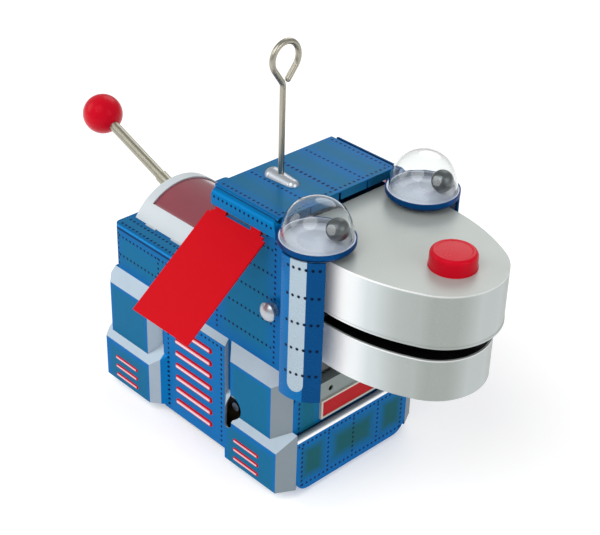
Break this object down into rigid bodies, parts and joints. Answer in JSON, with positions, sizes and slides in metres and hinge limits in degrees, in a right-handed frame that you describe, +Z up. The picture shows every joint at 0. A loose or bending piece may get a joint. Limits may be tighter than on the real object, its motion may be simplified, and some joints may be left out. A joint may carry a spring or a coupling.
{
  "type": "wind-up tin robot dog toy",
  "caption": "Wind-up tin robot dog: stamped blue side shells over a clockwork motor, hinged jaw, flapping ears, wagging tail, clear eye domes with rolling balls and an antenna",
  "frame": {"origin": "centre of the bounding box in plan, on the floor under the wheels", "axes": "+X toward the nose, +Y toward the dog's left, +Z up"},
  "size_m": [0.1835, 0.1138, 0.1408],
  "materials": {
    "litho_blue": "blue lithographed tin with grey-lilac bands, dot rows and a clear varnish",
    "litho_red": "red lithographed tin, glossy",
    "satin_silver": "satin silver lacquer on tin",
    "black_tin": "glossy black lacquer on tin",
    "bright_plate": "bright nickel plating, lightly worn",
    "wire_steel": "drawn steel wire, slightly dull",
    "clock_brass": "stamped brass, satin",
    "spring_steel": "tempered blue-grey spring steel",
    "plain_tin": "plain tinned plate",
    "canopy_white": "white moulded plastic",
    "window_maroon": "translucent maroon plastic",
    "eye_white": "pale lilac-white moulded plastic",
    "clear_dome": "clear moulded dome",
    "red_plastic": "glossy red plastic",
    "eye_steel": "polished dark steel ball",
    "wheel_black": "black rubber tread wheels"
  },
  "bodies": {
    "shell": {"side_shell_right": "litho_blue", "side_shell_left": "litho_blue", "front_panel": "litho_blue", "bumper_moulding": "satin_silver", "name_plate": "litho_red", "rear_deck": "litho_blue", "rear_panel": "litho_blue", "head_roof": "litho_blue", "head_rear_wall": "litho_blue", "base_plate": "plain_tin", "canopy": "canopy_white", "canopy_window": "window_maroon", "cheek_right": "litho_blue", "cheek_left": "litho_blue", "eye_cup_right": "litho_blue", "eye_cup_left": "litho_blue", "eye_tray_right": "eye_white", "eye_tray_left": "eye_white", "eye_dome_right": "clear_dome", "eye_dome_left": "clear_dome", "mouth_plate": "black_tin", "upper_jaw": "satin_silver", "palate": "black_tin", "nose": "red_plastic", "jaw_pin": "bright_plate", "ear_wires": "wire_steel", "antenna_foot": "bright_plate", "antenna_wire": "wire_steel", "motor_plate_right": "clock_brass", "motor_plate_left": "clock_brass", "motor_pillars": "wire_steel", "mainspring": "spring_steel", "tail_pin": "wire_steel"},
    "jaw": {"lower_jaw": "satin_silver", "tongue": "black_tin", "jaw_arms": "plain_tin"},
    "right_ear": {"ear_right": "litho_red"},
    "left_ear": {"ear_left": "litho_red"},
    "tail": {"tail_boss": "plain_tin", "tail_rod": "wire_steel", "tail_ball": "red_plastic"},
    "winder": {"winding_arbor": "bright_plate", "ratchet_wheel": "clock_brass"},
    "pawl": {"click": "spring_steel"},
    "great_gear": {"great_wheel": "clock_brass"},
    "mid_gear": {"mid_arbor": "wire_steel", "mid_wheel": "clock_brass"},
    "cam_gear": {"cam_wheel": "clock_brass", "cam": "plain_tin"},
    "governor_gear": {"governor": "clock_brass"},
    "driven_wheels": {"drive_axle": "wire_steel", "drive_wheels": "wheel_black"},
    "idle_wheels": {"front_axle": "wire_steel", "front_wheels": "wheel_black"},
    "rocker_lever": {"rocker": "plain_tin"},
    "right_eye": {"eye_ball_right": "eye_steel"},
    "left_eye": {"eye_ball_left": "eye_steel"}
  },
  "joints": [
    {"name": "jaw_hinge", "type": "hinge", "parent": "shell", "child": "jaw", "pos_m": [0.03135, 0, 0.0657], "axis": [0, 1, 0], "range_deg": [-3, 10]},
    {"name": "right_ear_flap", "type": "hinge", "parent": "shell", "child": "right_ear", "pos_m": [0.00505, -0.0259, 0.0905], "axis": [-1, 0, 0], "range_deg": [-40, 20]},
    {"name": "left_ear_flap", "type": "hinge", "parent": "shell", "child": "left_ear", "pos_m": [0.00505, 0.0259, 0.0905], "axis": [1, 0, 0], "range_deg": [-40, 20]},
    {"name": "tail_wag", "type": "hinge", "parent": "shell", "child": "tail", "pos_m": [-0.03485, 0, 0.0615], "axis": [0, 0, 1], "range_deg": [-14, 14]},
    {"name": "winding", "type": "hinge", "parent": "shell", "child": "winder", "pos_m": [0.01735, 0, 0.0228], "axis": [0, 1, 0], "continuous": true},
    {"name": "click_pivot", "type": "hinge", "parent": "shell", "child": "pawl", "pos_m": [0.02315, -0.011, 0.0375], "axis": [0, -1, 0], "range_deg": [0, 14], "stiffness_Nm_per_rad": 0.002, "springref_deg": -5.73},
    {"name": "drive_spin", "type": "hinge", "parent": "shell", "child": "driven_wheels", "pos_m": [-0.01085, 0, 0.008], "axis": [0, 1, 0], "continuous": true},
    {"name": "great_spin", "type": "hinge", "parent": "shell", "child": "great_gear", "pos_m": [0.01735, 0, 0.0228], "axis": [0, 1, 0], "continuous": true},
    {"name": "mid_spin", "type": "hinge", "parent": "shell", "child": "mid_gear", "pos_m": [0.00025, 0, 0.01716], "axis": [0, 1, 0], "continuous": true},
    {"name": "cam_spin", "type": "hinge", "parent": "shell", "child": "cam_gear", "pos_m": [-0.01222, 0, 0.02436], "axis": [0, 1, 0], "continuous": true},
    {"name": "governor_spin", "type": "hinge", "parent": "shell", "child": "governor_gear", "pos_m": [0.00265, 0, 0.03075], "axis": [0, 1, 0], "continuous": true},
    {"name": "front_spin", "type": "hinge", "parent": "shell", "child": "idle_wheels", "pos_m": [0.03215, 0, 0.006], "axis": [0, 1, 0], "continuous": true},
    {"name": "rocker_pivot", "type": "hinge", "parent": "shell", "child": "rocker_lever", "pos_m": [0.00915, -0.011, 0.0495], "axis": [0, 1, 0], "range_deg": [-5, 3]},
    {"name": "right_eye_roll", "type": "hinge", "parent": "shell", "child": "right_eye", "pos_m": [0.04525, -0.022, 0.09825], "axis": [0, 0, 1], "continuous": true},
    {"name": "left_eye_roll", "type": "hinge", "parent": "shell", "child": "left_eye", "pos_m": [0.04525, 0.022, 0.09825], "axis": [0, 0, 1], "continuous": true}
  ],
  "couplings": [
    {"joint": "left_ear_flap", "follows": "right_ear_flap", "ratio": 1},
    {"joint": "rocker_pivot", "follows": "jaw_hinge", "ratio": -0.4},
    {"joint": "mid_spin", "follows": "drive_spin", "ratio": -0.33333},
    {"joint": "great_spin", "follows": "drive_spin", "ratio": 0.083333},
    {"joint": "cam_spin", "follows": "drive_spin", "ratio": 0.11111},
    {"joint": "governor_spin", "follows": "drive_spin", "ratio": 1.2}
  ]
}
